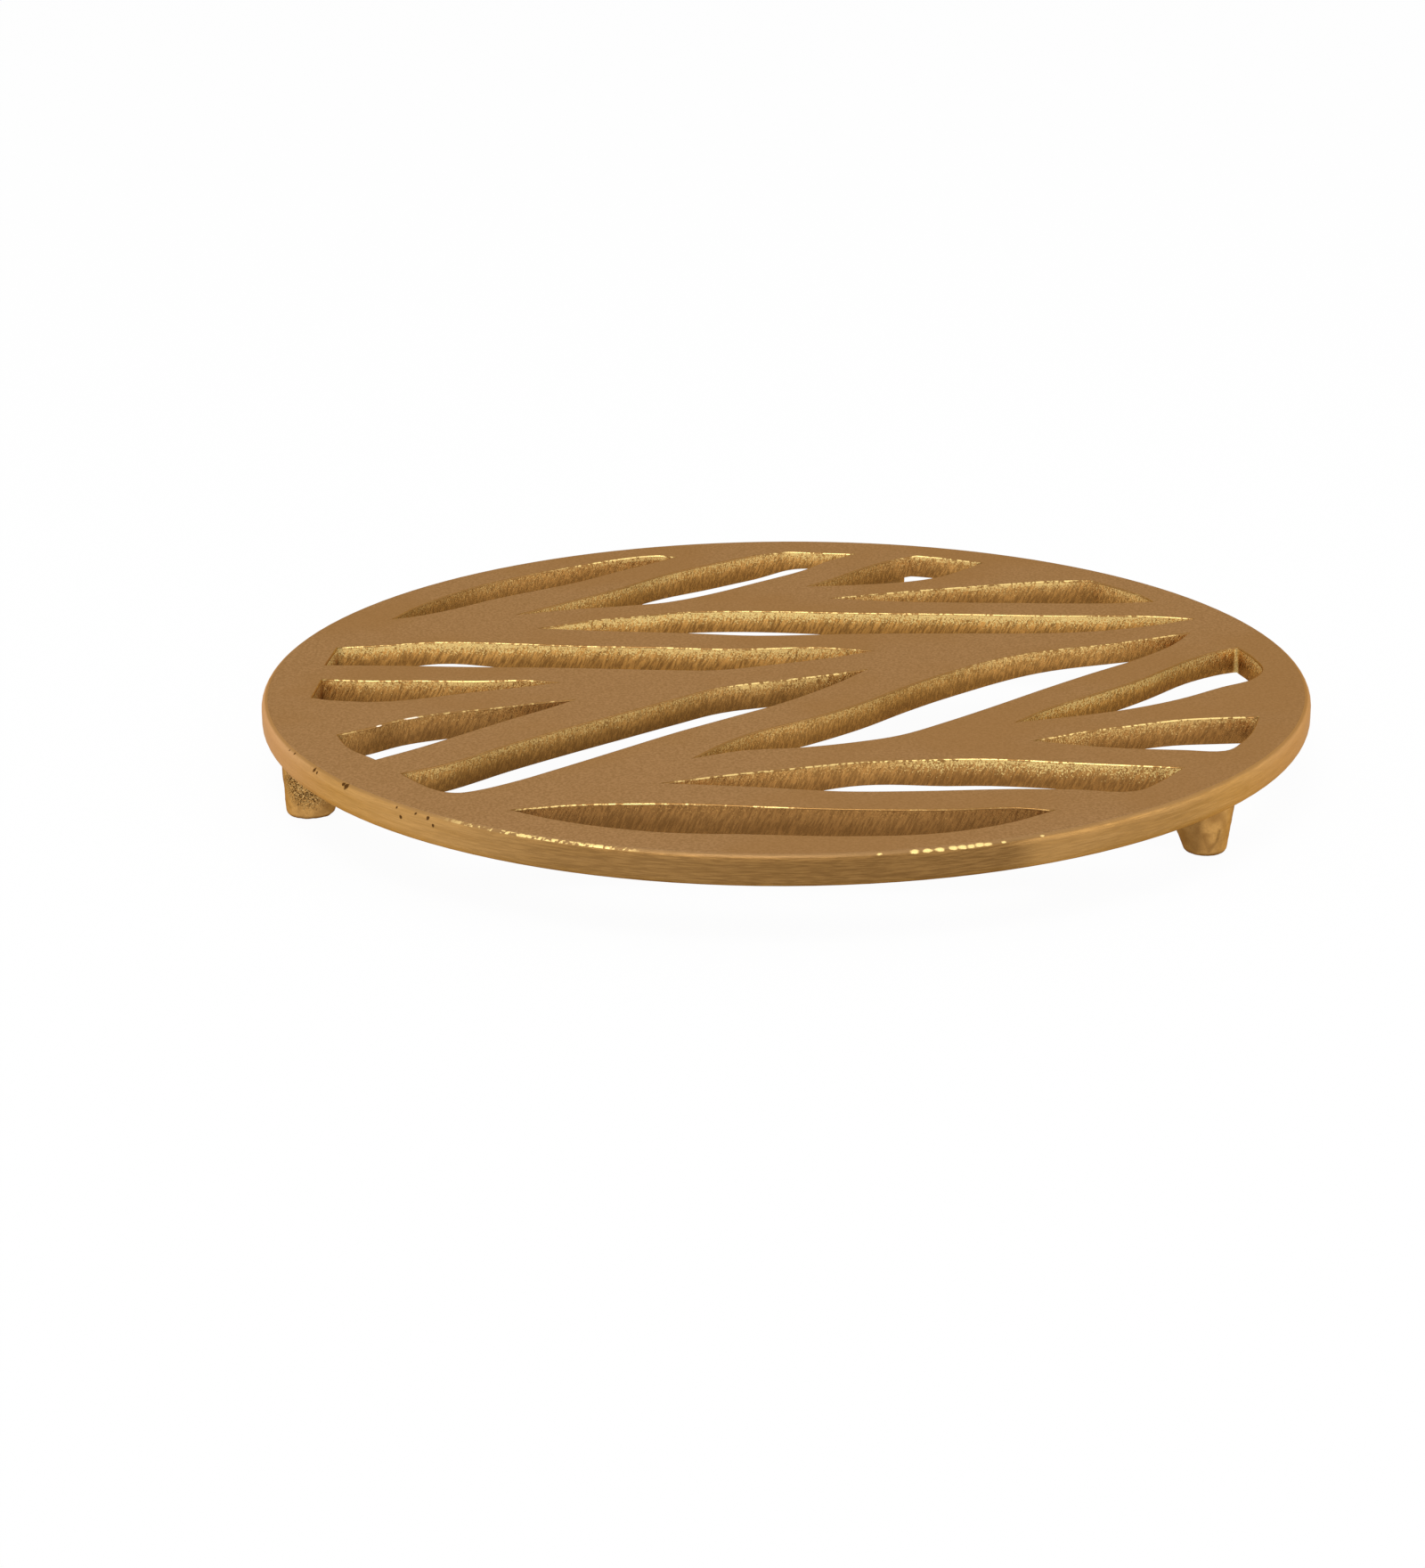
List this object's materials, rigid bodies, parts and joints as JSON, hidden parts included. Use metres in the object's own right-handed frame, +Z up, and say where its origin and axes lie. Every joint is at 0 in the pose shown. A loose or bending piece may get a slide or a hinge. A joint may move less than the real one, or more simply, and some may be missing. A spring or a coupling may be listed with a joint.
{
  "type": "trivet",
  "caption": "Round cast brass trivet: a flat pierced plate with branching slots that lifts a hot pot clear of the table on tapered peg feet.",
  "frame": {"origin": "on the table, under the middle of the plate", "axes": "+Z up, out of the top face; +X to the right and +Y to the back as pictured"},
  "size_m": [0.2, 0.2, 0.0159],
  "materials": {
    "plate_brass": "satin, fine-ground top, brushed rim, rough-filed slot walls",
    "foot_brass": "rough cast skin"
  },
  "bodies": {
    "root": {"plate": "plate_brass", "foot_left": "foot_brass", "foot_right": "foot_brass", "foot_rear": "foot_brass"}
  },
  "joints": []
}
